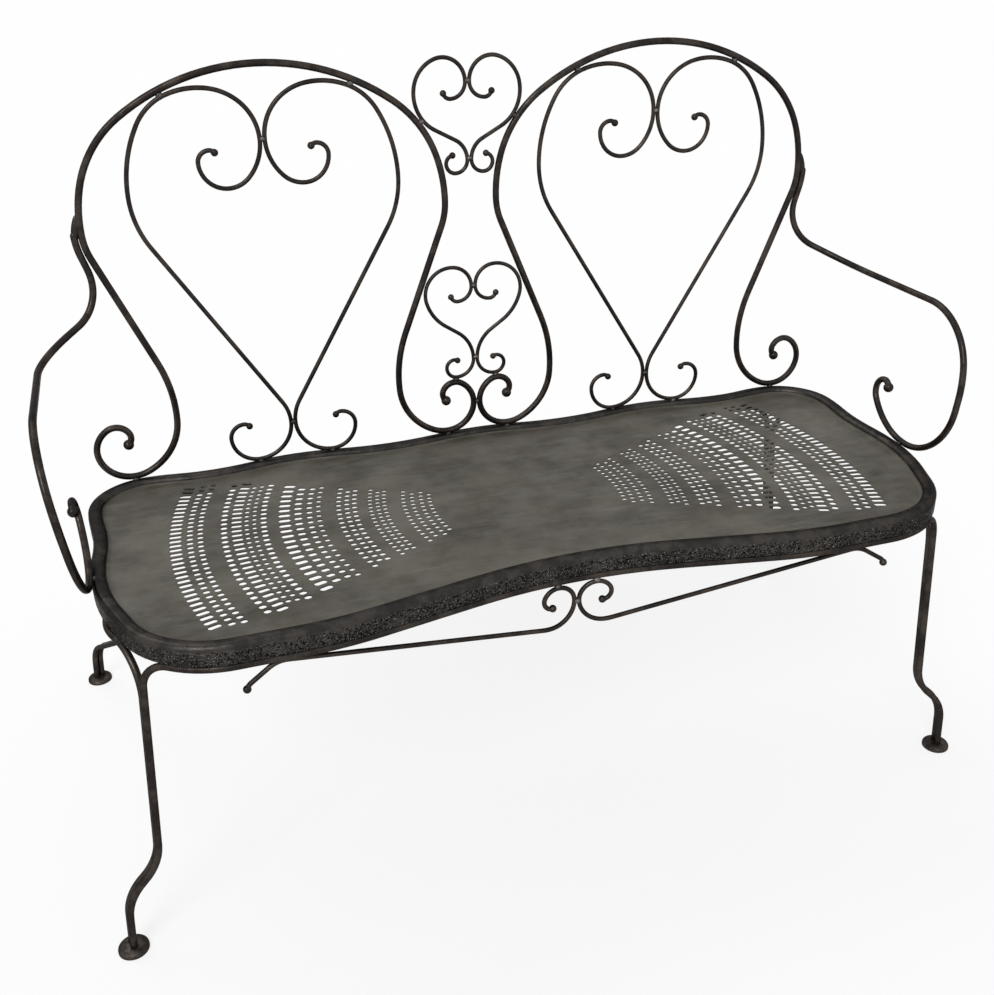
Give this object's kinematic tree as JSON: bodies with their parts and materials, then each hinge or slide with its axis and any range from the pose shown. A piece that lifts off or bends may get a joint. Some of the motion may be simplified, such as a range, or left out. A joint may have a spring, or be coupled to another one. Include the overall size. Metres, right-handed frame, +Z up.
{
  "type": "garden bench",
  "caption": "Two-seat garden bench of bent round iron bar, with a double arched back of heart scrolls and a pierced sheet seat.",
  "frame": {"origin": "on the floor, under the middle of the bench's box", "axes": "+X along the bench, to the right as seen from the front; +Y from the front to the back; +Z up"},
  "size_m": [1.2822, 0.6718, 0.9835],
  "materials": {
    "bar_iron": "dark waxed wrought iron, satin, worn brown on the high places",
    "foot_iron": "dark waxed forged iron, satin",
    "rolled_edge": "black hammered and pitted sheet, glossy on its crest",
    "seat_sheet": "weathered olive grey sheet, mottled, dull with a few scratches"
  },
  "bodies": {
    "root": {"arch_left": "bar_iron", "arch_right": "bar_iron", "heart_left_outer": "bar_iron", "heart_left_inner": "bar_iron", "heart_right_inner": "bar_iron", "heart_right_outer": "bar_iron", "crest_scroll_left": "bar_iron", "crest_scroll_right": "bar_iron", "centre_scroll_left": "bar_iron", "centre_scroll_right": "bar_iron", "arm_left": "bar_iron", "arm_right": "bar_iron", "seat_pan": "seat_sheet", "seat_edge": "rolled_edge", "front_rail": "bar_iron", "rear_rail": "bar_iron", "side_rail_left": "bar_iron", "side_rail_right": "bar_iron", "foot_front_left": "foot_iron", "foot_front_right": "foot_iron", "foot_rear_left": "foot_iron", "foot_rear_right": "foot_iron", "apron_scroll_left": "bar_iron", "apron_scroll_right": "bar_iron"}
  },
  "joints": []
}
